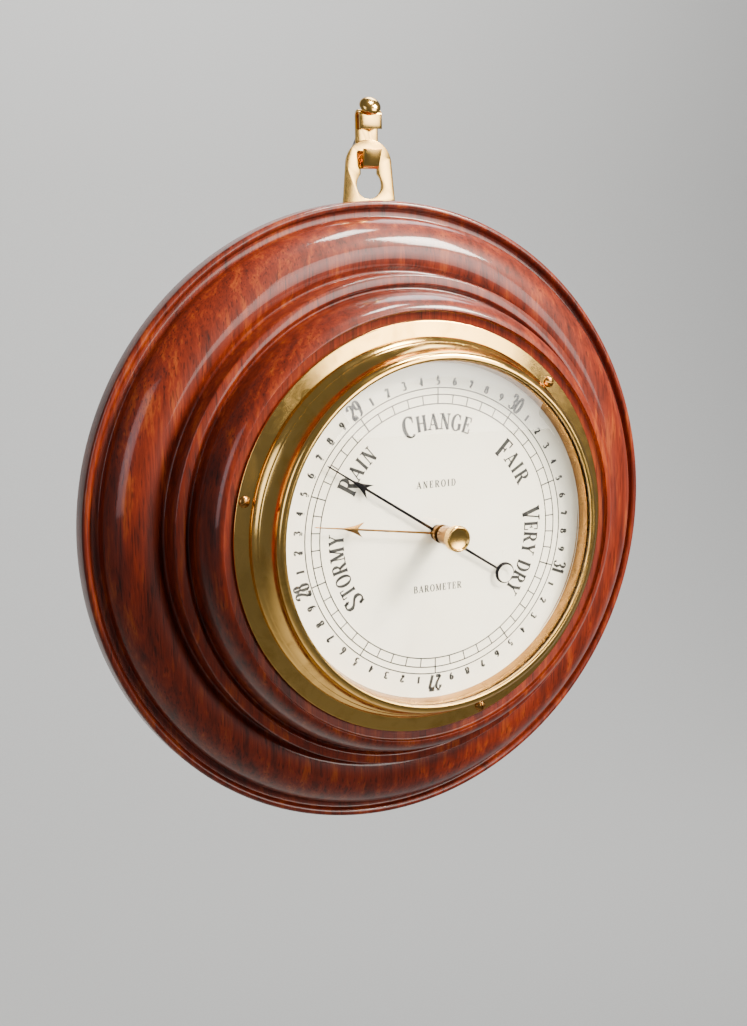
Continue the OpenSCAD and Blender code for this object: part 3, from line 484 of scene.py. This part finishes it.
# A letter is one unit high: its width, then its strokes, which are points joined by lines. A stroke is
# "s" a thick stem, "h" a thin hairline, "c" a curve that swells where it runs upright, or "f" a serif
# centred on a point.
LETTERS = {
    "A": (0.80, [
        ("h", [(0.07, 0), (0.40, 1)]), ("s", [(0.38, 1), (0.70, 0)]),
        ("h", [(0.18, 0.32), (0.60, 0.32)]), ("f", [(0.08, 0)]), ("f", [(0.70, 0)])
    ]),
    "B": (0.70, [
        ("s", [(0.16, 0), (0.16, 1)]), ("h", [(0.02, 0.975), (0.34, 0.975)]),
        ("h", [(0.16, 0.53), (0.34, 0.53)]), ("h", [(0.02, 0.025), (0.36, 0.025)]),
        ("c", ring(0.32, 0.76, 0.22, 0.235, 90, -90)), ("c", ring(0.34, 0.275, 0.27, 0.265, 90, -90))
    ]),
    "C": (0.72, [("c", ring(0.40, 0.5, 0.33, 0.5, 48, 308)), ("h", [(0.65, 0.98), (0.65, 0.66)])]),
    "D": (0.78, [
        ("s", [(0.16, 0), (0.16, 1)]), ("h", [(0.02, 0.975), (0.34, 0.975)]),
        ("h", [(0.02, 0.025), (0.34, 0.025)]), ("c", ring(0.32, 0.5, 0.37, 0.485, 90, -90))
    ]),
    "E": (0.66, [
        ("s", [(0.16, 0), (0.16, 1)]), ("h", [(0.02, 0.975), (0.58, 0.975)]),
        ("h", [(0.16, 0.52), (0.44, 0.52)]), ("h", [(0.02, 0.025), (0.60, 0.025)]),
        ("h", [(0.57, 1), (0.57, 0.72)]), ("h", [(0.59, 0), (0.59, 0.3)]),
        ("h", [(0.43, 0.64), (0.43, 0.40)])
    ]),
    "F": (0.62, [
        ("s", [(0.16, 0), (0.16, 1)]), ("h", [(0.02, 0.975), (0.56, 0.975)]),
        ("h", [(0.16, 0.50), (0.42, 0.50)]), ("f", [(0.16, 0)]), ("h", [(0.55, 1), (0.55, 0.72)]),
        ("h", [(0.42, 0.62), (0.42, 0.38)])
    ]),
    "G": (0.80, [
        ("c", ring(0.40, 0.5, 0.33, 0.5, 48, 315)), ("h", [(0.65, 0.98), (0.65, 0.68)]),
        ("s", [(0.66, 0.06), (0.66, 0.42)]), ("f", [(0.66, 0.42)])
    ]),
    "H": (0.84, [
        ("s", [(0.17, 0), (0.17, 1)]), ("s", [(0.67, 0), (0.67, 1)]),
        ("h", [(0.17, 0.52), (0.67, 0.52)]), ("f", [(0.17, 0)]), ("f", [(0.17, 1)]), ("f", [(0.67, 0)]),
        ("f", [(0.67, 1)])
    ]),
    "I": (0.36, [("s", [(0.18, 0), (0.18, 1)]), ("f", [(0.18, 0)]), ("f", [(0.18, 1)])]),
    "M": (1.00, [
        ("h", [(0.14, 0), (0.14, 1)]), ("s", [(0.15, 1), (0.48, 0.06)]),
        ("h", [(0.48, 0.06), (0.82, 1)]), ("s", [(0.84, 0), (0.84, 1)]), ("f", [(0.14, 0)]),
        ("f", [(0.84, 0)]), ("f", [(0.10, 1)]), ("f", [(0.88, 1)])
    ]),
    "N": (0.82, [
        ("h", [(0.14, 0), (0.14, 1)]), ("s", [(0.15, 1), (0.68, 0)]), ("h", [(0.68, 0), (0.68, 1)]),
        ("f", [(0.14, 0)]), ("f", [(0.10, 1)]), ("f", [(0.68, 1)])
    ]),
    "O": (0.80, [("c", ring(0.40, 0.5, 0.33, 0.5, 90, 450))]),
    "R": (0.78, [
        ("s", [(0.16, 0), (0.16, 1)]), ("h", [(0.02, 0.975), (0.36, 0.975)]),
        ("h", [(0.16, 0.50), (0.36, 0.50)]), ("c", ring(0.34, 0.745, 0.25, 0.245, 90, -90)),
        ("s", [(0.40, 0.50), (0.66, 0.02)]), ("f", [(0.16, 0)]), ("f", [(0.69, 0)])
    ]),
    "S": (0.64, [
        ("c", [(0.55, 0.76), (0.50, 0.91), (0.38, 0.98), (0.24, 0.97), (0.13, 0.87), (0.11, 0.72),
               (0.20, 0.59), (0.34, 0.50), (0.48, 0.40), (0.56, 0.27), (0.53, 0.12), (0.41, 0.03),
               (0.27, 0.02), (0.14, 0.09), (0.08, 0.26)]),
        ("h", [(0.55, 1.0), (0.55, 0.70)]), ("h", [(0.08, 0.0), (0.08, 0.30)])
    ]),
    "T": (0.70, [
        ("s", [(0.35, 0), (0.35, 1)]), ("h", [(0.04, 0.975), (0.66, 0.975)]),
        ("h", [(0.05, 1), (0.05, 0.72)]), ("h", [(0.65, 1), (0.65, 0.72)]), ("f", [(0.35, 0)])
    ]),
    "V": (0.76, [
        ("s", [(0.12, 1), (0.40, 0.02)]), ("h", [(0.40, 0.02), (0.68, 1)]), ("f", [(0.12, 1)]),
        ("f", [(0.68, 1)])
    ]),
    "Y": (0.76, [
        ("s", [(0.12, 1), (0.38, 0.46)]), ("h", [(0.38, 0.46), (0.68, 1)]),
        ("s", [(0.38, 0), (0.38, 0.48)]), ("f", [(0.12, 1)]), ("f", [(0.68, 1)]), ("f", [(0.38, 0)])
    ]),
    " ": (0.34, []),
    "0": (0.62, [("c", ring(0.31, 0.5, 0.22, 0.5, 90, 450))]),
    "1": (0.46, [("s", [(0.25, 0), (0.25, 1)]), ("h", [(0.06, 0.80), (0.25, 1)]), ("f", [(0.25, 0)])]),
    "2": (0.60, [
        ("c", [(0.10, 0.72), (0.12, 0.88), (0.22, 0.98), (0.36, 0.98), (0.48, 0.88), (0.50, 0.72),
               (0.44, 0.54), (0.30, 0.34), (0.16, 0.18), (0.08, 0.05)]),
        ("s", [(0.08, 0.08), (0.52, 0.08)])
    ]),
    "3": (0.58, [
        ("c", [(0.09, 0.80), (0.16, 0.95), (0.30, 0.99), (0.43, 0.91), (0.46, 0.76), (0.40, 0.61),
               (0.26, 0.54)]),
        ("c", [(0.26, 0.54), (0.42, 0.48), (0.50, 0.32), (0.46, 0.12), (0.32, 0.02), (0.16, 0.04),
               (0.07, 0.18)])
    ]),
    "4": (0.62, [
        ("h", [(0.40, 1), (0.05, 0.30)]), ("h", [(0.03, 0.30), (0.58, 0.30)]),
        ("s", [(0.40, 0), (0.40, 1)]), ("f", [(0.40, 0)])
    ]),
    "5": (0.58, [
        ("s", [(0.12, 0.93), (0.48, 0.93)]), ("h", [(0.12, 0.97), (0.10, 0.55)]),
        ("c", [(0.10, 0.55), (0.24, 0.62), (0.40, 0.58), (0.49, 0.42), (0.48, 0.20), (0.36, 0.05),
               (0.20, 0.02), (0.08, 0.12)])
    ]),
    "6": (0.60, [
        ("c", ring(0.31, 0.30, 0.20, 0.29, 90, 450)),
        ("c", [(0.11, 0.32), (0.13, 0.60), (0.24, 0.86), (0.44, 0.99)])
    ]),
    "7": (0.58, [
        ("s", [(0.07, 0.93), (0.52, 0.93)]), ("h", [(0.07, 1), (0.07, 0.74)]),
        ("s", [(0.51, 0.94), (0.24, 0)])
    ]),
    "8": (0.60, [
        ("c", ring(0.30, 0.76, 0.17, 0.23, 90, 450)), ("c", ring(0.30, 0.28, 0.21, 0.27, 90, 450))
    ]),
    "9": (0.60, [
        ("c", ring(0.29, 0.70, 0.20, 0.29, 90, 450)),
        ("c", [(0.49, 0.68), (0.47, 0.40), (0.36, 0.14), (0.16, 0.01)])
    ]),
}


def heading(line, i):
    """Unit direction of a line of points at its point i. A closed line's ends share one direction."""
    before, after = line[max(i - 1, 0)], line[min(i + 1, len(line) - 1)]
    if line[0] == line[-1] and i in (0, len(line) - 1):
        before, after = line[-2], line[1]
    dx, dy = after[0] - before[0], after[1] - before[1]
    size = math.hypot(dx, dy) or 1
    return dx / size, dy / size


class Print:
    """Flat black shapes collected on the dial's face, in millimetres seen from the front."""

    def __init__(self):
        self.points, self.faces = [], []

    def strip(self, line, widths):
        """A ribbon along a line of points, with its full width at each."""
        first = len(self.points)
        for i, (x, y) in enumerate(line):
            dx, dy = heading(line, i)
            nx, ny = -dy * widths[i] / 2, dx * widths[i] / 2
            self.points += [(x + nx, y + ny), (x - nx, y - ny)]
        for i in range(first, len(self.points) - 2, 2):
            self.faces.append((i, i + 1, i + 3, i + 2))

    def letter(self, sign, place, height, weight):
        """One letter. place turns its own (across, up) into the dial's (x, y)."""
        stem, hair = STEM * weight, HAIRLINE * weight
        for kind, line in LETTERS[sign][1]:
            if kind == "f":
                x, y = line[0]
                edge = min(max(y, hair / 2), 1 - hair / 2)
                line, widths = [(x - SERIF_REACH, edge), (x + SERIF_REACH, edge)], [hair, hair]
            elif kind == "c":
                widths = [hair + (stem - hair) * heading(line, i)[1] ** 2 for i in range(len(line))]
            else:
                widths = [stem if kind == "s" else hair] * len(line)
            self.strip([place(x, y) for x, y in line], [w * height for w in widths])

    def word(self, signs, middle, radius, height, weight=1.0, gap=0.06, first=1.0, condensed=0.86):
        """A word that runs clockwise round the dial with its letters' tops outwards.

        middle is its angle from the top, radius runs through its letters' middles, and first enlarges
        the first letter."""
        sizes = [height * (first if i == 0 else 1) for i in range(len(signs))]
        wide = [LETTERS[s][0] * size * condensed + gap * height for s, size in zip(signs, sizes)]
        along = -sum(wide) / 2
        for sign, size, w in zip(signs, sizes, wide):
            turn = math.radians(middle) + (along + w / 2) / radius
            out, side = (math.sin(turn), math.cos(turn)), (math.cos(turn), -math.sin(turn))
            half = LETTERS[sign][0] / 2

            def place(x, y):
                u, v = (x - half) * size * condensed, radius + (y - 0.5) * size
                return u * side[0] + v * out[0], u * side[1] + v * out[1]

            self.letter(sign, place, size, weight)
            along += w

    def straight(self, signs, x0, y0, height, weight=1.0, gap=0.08, condensed=0.9):
        """A level word centred on x0 with its foot on y0."""
        wide = [LETTERS[s][0] * height * condensed + gap * height for s in signs]
        left = x0 - sum(wide) / 2
        for sign, w in zip(signs, wide):
            self.letter(sign, lambda x, y: (left + x * height * condensed, y0 + y * height), height,
                        weight)
            left += w

    def circle(self, radius, width):
        """A circle about the dial's centre."""
        line = arc(0, 0, radius, radius, 90, 450, 180)
        self.strip(line, [width] * len(line))

    def spoke(self, angle, inner, outer, width):
        """A radial line at a clockwise angle from the top."""
        s, c = math.sin(math.radians(angle)), math.cos(math.radians(angle))
        self.strip([(inner * s, inner * c), (outer * s, outer * c)], [width] * 2)

    def piece(self, name, height):
        """The shapes as one thin piece that stands on the dial."""
        deselect()
        mesh = bpy.data.meshes.new(name)
        mesh.from_pydata([(x * MM, -height * MM, y * MM) for x, y in self.points], [], self.faces)
        made = bpy.data.objects.new(name, mesh)
        bpy.context.collection.objects.link(made)
        made.select_set(True)
        bpy.context.view_layer.objects.active = made
        bpy.ops.object.mode_set(mode="EDIT")
        bpy.ops.mesh.select_all(action="SELECT")
        bpy.ops.mesh.extrude_region_move(TRANSFORM_OT_translate={"value": (0, -INK * MM, 0)})
        bpy.ops.mesh.select_all(action="SELECT")
        bpy.ops.mesh.normals_make_consistent(inside=False)
        bpy.ops.object.mode_set(mode="OBJECT")
        return made


# ---------------------------------------------------------------- settings

class BoardSettings(bpy.types.PropertyGroup):
    """Tones and grain of the mahogany board."""

    dark: bpy.props.FloatVectorProperty(name="Dark grain", description="Colour of the dark bands",
                                        subtype="COLOR", size=3, default=linear("#2c0a03"))
    middle: bpy.props.FloatVectorProperty(name="Middle grain", description="Colour between the bands",
                                          subtype="COLOR", size=3, default=linear("#661d07"))
    light: bpy.props.FloatVectorProperty(name="Light grain", description="Colour of the light bands",
                                         subtype="COLOR", size=3, default=linear("#964512"))
    pores: bpy.props.FloatVectorProperty(name="Pores", description="Colour of the filled pores",
                                         subtype="COLOR", size=3, default=linear("#120200"))
    radius: bpy.props.FloatProperty(name="Radius", description="Radius of the board", subtype="DISTANCE",
                                    unit="LENGTH", default=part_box("backboard")[1].x)


class CaseSettings(bpy.types.PropertyGroup):
    """Tones of the brass case, bezel and hook."""

    brass: bpy.props.FloatVectorProperty(name="Brass", description="Colour of clean brass",
                                         subtype="COLOR", size=3, default=linear("#efc06a"))
    stain: bpy.props.FloatVectorProperty(name="Stain", description="Colour of stained lacquer",
                                         subtype="COLOR", size=3, default=linear("#ac8038"))


class DialSettings(bpy.types.PropertyGroup):
    """Colours of the dial and the sizes of its scale."""

    enamel: bpy.props.FloatVectorProperty(name="Enamel", description="Colour of the white paint",
                                          subtype="COLOR", size=3, default=linear("#f3ece0"))
    yellowing: bpy.props.FloatVectorProperty(name="Yellowing", description="Colour of the aged paint",
                                             subtype="COLOR", size=3, default=linear("#ebe0cd"))
    word_height: bpy.props.FloatProperty(name="Word height",
                                         description="Height of the weather words' letters",
                                         subtype="DISTANCE", unit="LENGTH", default=0.0062)


class StageSettings(bpy.types.PropertyGroup):
    """Light of the studio."""

    key_power: bpy.props.FloatProperty(name="Key light", description="Power of the main lamp",
                                       subtype="POWER", default=8.5)
    fill_power: bpy.props.FloatProperty(name="Fill light", description="Power of the fill lamps",
                                        subtype="POWER", default=2.4)


# ---------------------------------------------------------------- pieces

class BAROMETER_OT_board(bpy.types.Operator):
    """Turn the mahogany board and cut its back for the hanger plate"""

    bl_idname = "barometer.board"
    bl_label = "Mahogany board"

    def execute(self, context):
        r = context.scene.barometer_board.radius / MM
        outline = (
            [(ACCESS_R, 0), (r - 0.6, 0), (r - 0.1, 0.25), (r, 0.7)]
            + arc(r - 1.55, 7.6, 1.55, 1.55, 0, 180, 16)
            + [(r - 3.5, 7.05), (r - 4.9, 6.9), (r - 6.3, 7.05), (r - 6.8, 7.6)]
            + arc(r - 21.7, 4.74, 16.26, 16.26, 23.6, 104.6, 40)
            + [(r - 26.6, 19.7), (r - 27.6, 19.4), (r - 28.3, 19.75), (r - 28.6, 20.6)]
            + [(r - 28.6, 30.0), (r - 28.8, 30.4), (r - 29.3, 30.65), (r - 32.3, 30.95), (r - 32.8, 30.6)]
            + [(r - 33.3, 29.75), (r - 33.9, 29.45), (r - 34.6, 29.7)]
            + arc(r - 42.6, 30, 7.8, 16, 4, 86.7, 30)
            + [(r - 42.25, LAND_H + 0.5), (r - 42.55, LAND_H)]
            + [(RECESS_R, LAND_H), (RECESS_R, RECESS_FLOOR_H), (ACCESS_R, RECESS_FLOOR_H)]
        )
        board = turned("backboard_turned", outline, bevel=0.25, bevel_angle=35, smooth=40)
        # The pocket in the back that takes the hanger plate flush
        cut(board, (-11.55, -1.2, 102.95), (11.55, 0.5, 140))
        polished = material("french_polished_mahogany", polished_mahogany)
        dress(board, polished, BODY, "mahogany", "backboard")
        board.data.materials.append(material("bare_mahogany", bare_mahogany))
        # The back and the recess are left unpolished.
        for face in board.data.polygons:
            at_back = face.center.y > -1.3 * MM and abs(face.normal.y) > 0.9
            if at_back or face.center.xz.length < (RECESS_R + 0.1) * MM:
                face.material_index = 1
        return {"FINISHED"}


class BAROMETER_OT_case(bpy.types.Operator):
    """Spin the brass case and the bezel that holds the glass"""

    bl_idname = "barometer.case"
    bl_label = "Case and bezel"

    def execute(self, context):
        case = turned("case_spun", [
            (3, CASE_BACK_H), (72.5, CASE_BACK_H), (73.2, 10.3), (CASE_R, 11), (CASE_R, LAND_H),
            (80.75, LAND_H), (FLANGE_R, 44.45), (FLANGE_R, 45.2), (80.88, 45.48), (80.6, FLANGE_H),
            (CASE_R, FLANGE_H), (CASE_R, CASE_RIM_H), (CASE_BORE_R, CASE_RIM_H),
            (CASE_BORE_R, CASE_FLOOR_H), (3, CASE_FLOOR_H)], bevel=0.12, smooth=35)
        dress(case, bright_brass(), BODY, "polished_brass", "case")
        bezel = turned("bezel_turned", (
            [(CASE_R, 46.3), (74.75, 46.3), (75, 46.55), (75, 47.6), (74.8, 48.0), (73.6, 49.15), (73.0, 49.7),
             (72.9, 49.95)]
            + arc(83.37, 59.5, 14.2, 14.2, 222.4, 188.9, 24) + arc(67.6, 58.9, 2.4, 2.4, -42, 100, 26)
            + [(66.85, 61.15), (LIP_R, 60.9), (LIP_R, LIP_H), (67.9, LIP_H), (67.9, 55), (71.3, 50.6),
               (71.3, CASE_RIM_H)]
        ), bevel=0.1, smooth=35, bevel_angle=40)
        dress(bezel, bright_brass(), BODY, "polished_brass", "bezel")
        return {"FINISHED"}


class BAROMETER_OT_glass(bpy.types.Operator):
    """Grind the bevelled glass and turn the conical ring under it"""

    bl_idname = "barometer.glass"
    bl_label = "Glass and sight ring"

    def execute(self, context):
        glass = turned("glass_bevelled", [
            (GLASS_HOLE_R, GLASS_BACK_H), (GLASS_R, GLASS_BACK_H), (GLASS_R, GLASS_EDGE_H),
            (BEVEL_R + 0.3, GLASS_FRONT_H - 0.02), (BEVEL_R, GLASS_FRONT_H), (GLASS_HOLE_R, GLASS_FRONT_H)],
            smooth=5)
        dress(glass, material("clear_glass", clear_glass), BODY, "glass", "glass")
        ring_piece = turned("sight_ring_turned", [
            (64.6, 52.08), (65.2, 52.08), (67, 56.2), (GLASS_R, 56.2), (GLASS_R, 56.77), (66.5, 56.77)],
            bevel=0.06, smooth=35)
        dress(ring_piece, old_brass(), BODY, "aged_brass", "sight_ring")
        return {"FINISHED"}


class BAROMETER_OT_printing(bpy.types.Operator):
    """Print the scale, the numbers and the weather words on the dial"""

    bl_idname = "barometer.printing"
    bl_label = "Dial printing"

    def execute(self, context):
        sheet = Print()
        for radius in (SCALE_INNER_R, SCALE_MIDDLE_R, SCALE_OUTER_R):
            sheet.circle(radius, FINE_LINE)
        # The tenths of an inch go once round, with the first whole inch near the bottom.
        for tenth in range(TENTHS):
            angle = FIRST_ANGLE + TENTH_ANGLE * tenth
            whole, part = divmod(tenth, 10)
            if part in (0, 5):
                sheet.spoke(angle, SCALE_INNER_R, SCALE_OUTER_R, SCALE_LINE)
            else:
                sheet.spoke(angle, SCALE_INNER_R, SCALE_MIDDLE_R, FINE_LINE)
            if part:
                sheet.word(str(part), angle, TENTHS_R, 2.7, 1.8, condensed=1.0)
            else:
                sheet.word(str(FIRST_INCH + whole), angle, INCHES_R, 5.8, 1.15, gap=0.02, condensed=0.8)
        high = context.scene.barometer_dial.word_height / MM
        for signs, at, gap in WORDS:
            sheet.word(signs, at, WORDS_R, high, 1.05, gap=gap, first=1.3)
        sheet.straight("ANEROID", 0.5, 17.5, 2.7, 1.0, gap=0.3)
        sheet.straight("BAROMETER", 0.5, -23, 2.7, 1.0, gap=0.2)
        printed = sheet.piece("dial_printing", DIAL_H + 0.005)
        dress(printed, material("printing_ink", printing_ink), BODY, "dial_enamel")
        return {"FINISHED"}


class BAROMETER_OT_hands(bpy.types.Operator):
    """Finish the hands, the knob and the bush"""

    bl_idname = "barometer.hands"
    bl_label = "Hands and knob"

    def execute(self, context):
        dress_copies((
            ("pressure_hand_filed", "pressure_hand", "pressure_indicator", "blued_steel",
             bpy.data.materials["blued_needle_steel"], 0.06),
            ("set_hand_filed", "set_hand", "set_indicator", "polished_brass", old_brass(), 0.06),
            ("set_knob_knurled", "set_knob", "set_indicator", "polished_brass", bright_brass(), 0.08),
            ("glass_bush_turned", "glass_bush", BODY, "aged_brass", old_brass(), 0.08),
        ))
        return {"FINISHED"}


class BAROMETER_OT_hanger(bpy.types.Operator):
    """Ease the edges of the hanger plate, its hook and the screws"""

    bl_idname = "barometer.hanger"
    bl_label = "Hanger and screws"

    def execute(self, context):
        dress_copies((
            ("hanger_plate_filed", "hanger_plate", BODY, "polished_brass", bright_brass(), 0.2),
            ("wall_hook_folded", "wall_hook", "wall_fixing", "polished_brass", bright_brass(), 0.15),
            ("hook_pin_head_turned", "hook_pin_head", "wall_fixing", "polished_brass", bright_brass(), 0.12),
            ("flange_screws_domed", "flange_screws", BODY, "aged_brass", old_brass(), 0.08),
            ("hanger_screws_slotted", "hanger_screws", BODY, "steel",
             bpy.data.materials["bright_steel"], 0.06),
        ))
        return {"FINISHED"}


class BAROMETER_OT_finishes(bpy.types.Operator):
    """Give every remaining CAD piece its real finish"""

    bl_idname = "barometer.finishes"
    bl_label = "Metal finishes"

    def execute(self, context):
        finishes = {
            "polished_brass": bright_brass(),
            "aged_brass": old_brass(),
            "movement_brass": brushed_brass(),
            "blued_steel": material("blued_needle_steel", steel, linear("#1d1a1c"), 0.34),
            "steel": material("bright_steel", steel, linear("#a7a8aa"), 0.28),
            "nickel_silver": material("satin_nickel_silver", steel, linear("#b4afa4"), 0.42),
            "dial_enamel": material("dial_paint", dial_enamel),
            "packing": material("packing_paper", packing_paper),
            "mahogany": material("french_polished_mahogany", polished_mahogany),
            "glass": material("clear_glass", clear_glass),
        }
        for part in frame["record"]["subparts"]:
            piece = frame["nodes"][part["node"]]
            piece.data.materials.clear()
            piece.data.materials.append(finishes[part["material_slot"]])
        return {"FINISHED"}


class BAROMETER_OT_stage(bpy.types.Operator):
    """Set the pale sweep, the soft lamps and the camera"""

    bl_idname = "barometer.stage"
    bl_label = "Stage"

    def execute(self, context):
        scene, powers = context.scene, context.scene.barometer_stage
        # A floor whose back edge is pulled up into a wall, with a round bend between them
        deselect()
        bpy.ops.mesh.primitive_plane_add(size=9, location=(0, -0.5, -1.2))
        sweep = bpy.context.object
        sweep.name = sweep.data.name = "pale_sweep"
        bpy.ops.object.transform_apply(location=True, rotation=False, scale=False)
        bpy.ops.object.mode_set(mode="EDIT")
        bpy.ops.mesh.select_all(action="DESELECT")
        bpy.ops.object.mode_set(mode="OBJECT")
        for edge in sweep.data.edges:
            edge.select = all(sweep.data.vertices[v].co.y > 3 for v in edge.vertices)
        bpy.ops.object.mode_set(mode="EDIT")
        bpy.ops.mesh.select_mode(type="EDGE")
        bpy.ops.mesh.extrude_region_move(TRANSFORM_OT_translate={"value": (0, 0, 6)})
        bpy.ops.object.mode_set(mode="OBJECT")
        bend = sweep.modifiers.new("bend", "BEVEL")
        bend.width, bend.segments, bend.limit_method = 1.5, 16, "ANGLE"
        bpy.ops.object.modifier_apply(modifier=bend.name)
        bpy.ops.object.shade_smooth()
        sweep.data.materials.append(material("pale_paper", pale_paper))

        world = bpy.data.worlds.new("studio_air")
        scene.world = world
        world.use_nodes = True
        world.node_tree.nodes["Background"].inputs["Color"].default_value = rgba(linear("#dfe3e8"))
        world.node_tree.nodes["Background"].inputs["Strength"].default_value = 0.2
        # Name, place, width, height, power and colour. Each one looks at the dial's centre.
        lamps = (
            ("key_lamp", (0.73, -0.74, 0.85), 0.40, 0.40, powers.key_power, "#fff3e2"),
            ("window", (0.62, -1.15, 0.27), 0.80, 0.70, powers.fill_power, "#fffaf2"),
            ("top_lamp", (0.30, -0.30, 1.15), 0.30, 0.20, powers.fill_power * 0.8, "#fff8ee"),
            ("left_lamp", (-1.60, -0.90, 0.50), 0.7, 1.2, powers.fill_power * 0.5, "#f2f4ff"),
            ("rear_lamp", (0.90, 0.90, 1.60), 0.9, 0.9, powers.fill_power * 1.5, "#ffffff"),
        )
        for name, place, wide, high, power, colour in lamps:
            bpy.ops.object.light_add(type="AREA", location=place)
            lamp = bpy.context.object
            lamp.name = name
            lamp.rotation_mode = "QUATERNION"
            lamp.rotation_quaternion = Vector(place).to_track_quat("Z", "Y")
            lamp.data.shape, lamp.data.size, lamp.data.size_y = "RECTANGLE", wide, high
            lamp.data.energy, lamp.data.color = power, linear(colour)
            # A grid on each lamp keeps its light off the floor.
            lamp.data.spread = math.radians(60)

        # This one lights only the sweep.
        bpy.ops.object.light_add(type="AREA", location=(1.2, 1.2, 2.2))
        wash = bpy.context.object
        wash.name = "sweep_lamp"
        wash.rotation_euler = (math.radians(65), 0, 0)
        wash.data.size, wash.data.energy = 2.0, 160

        place, aim = Vector((-0.29776, -0.58890, 0.11260)), Vector((-0.00968, -0.01881, 0.00345))
        bpy.ops.object.camera_add(location=place)
        camera = bpy.context.object
        camera.rotation_mode = "QUATERNION"
        roll = Matrix.Rotation(math.radians(-1.02), 3, "Z").to_quaternion()
        camera.rotation_quaternion = (aim - place).to_track_quat("-Z", "Y") @ roll
        camera.data.lens, camera.data.sensor_width = 56.63, 36.0
        camera.data.clip_start = 0.01
        scene.camera = camera
        return {"FINISHED"}


# In the order in which they run
OPERATORS = (
    BAROMETER_OT_stage, BAROMETER_OT_finishes, BAROMETER_OT_board, BAROMETER_OT_case,
    BAROMETER_OT_glass, BAROMETER_OT_printing, BAROMETER_OT_hands, BAROMETER_OT_hanger,
)


class BAROMETER_PT_panel(bpy.types.Panel):
    """Lists the settings and the pieces in the order in which they are built"""

    bl_idname = "BAROMETER_PT_panel"
    bl_label = "Ship's barometer"
    bl_space_type = "VIEW_3D"
    bl_region_type = "UI"
    bl_category = "Barometer"

    def draw(self, context):
        for name in SETTINGS:
            settings = getattr(context.scene, name)
            for key in settings.__annotations__:
                self.layout.prop(settings, key)
        for operator in OPERATORS:
            self.layout.operator(operator.bl_idname)


SETTINGS = {
    "barometer_board": BoardSettings,
    "barometer_case": CaseSettings,
    "barometer_dial": DialSettings,
    "barometer_stage": StageSettings,
}


def register():
    for name, group in SETTINGS.items():
        bpy.utils.register_class(group)
        setattr(bpy.types.Scene, name, bpy.props.PointerProperty(type=group))
    for cls in (*OPERATORS, BAROMETER_PT_panel):
        bpy.utils.register_class(cls)


def unregister():
    for cls in (BAROMETER_PT_panel, *reversed(OPERATORS)):
        bpy.utils.unregister_class(cls)
    for name, group in reversed(SETTINGS.items()):
        delattr(bpy.types.Scene, name)
        bpy.utils.unregister_class(group)


def main():
    register()
    for operator in OPERATORS:
        group, name = operator.bl_idname.split(".")
        getattr(getattr(bpy.ops, group), name)()


if __name__ == "__main__":
    main()
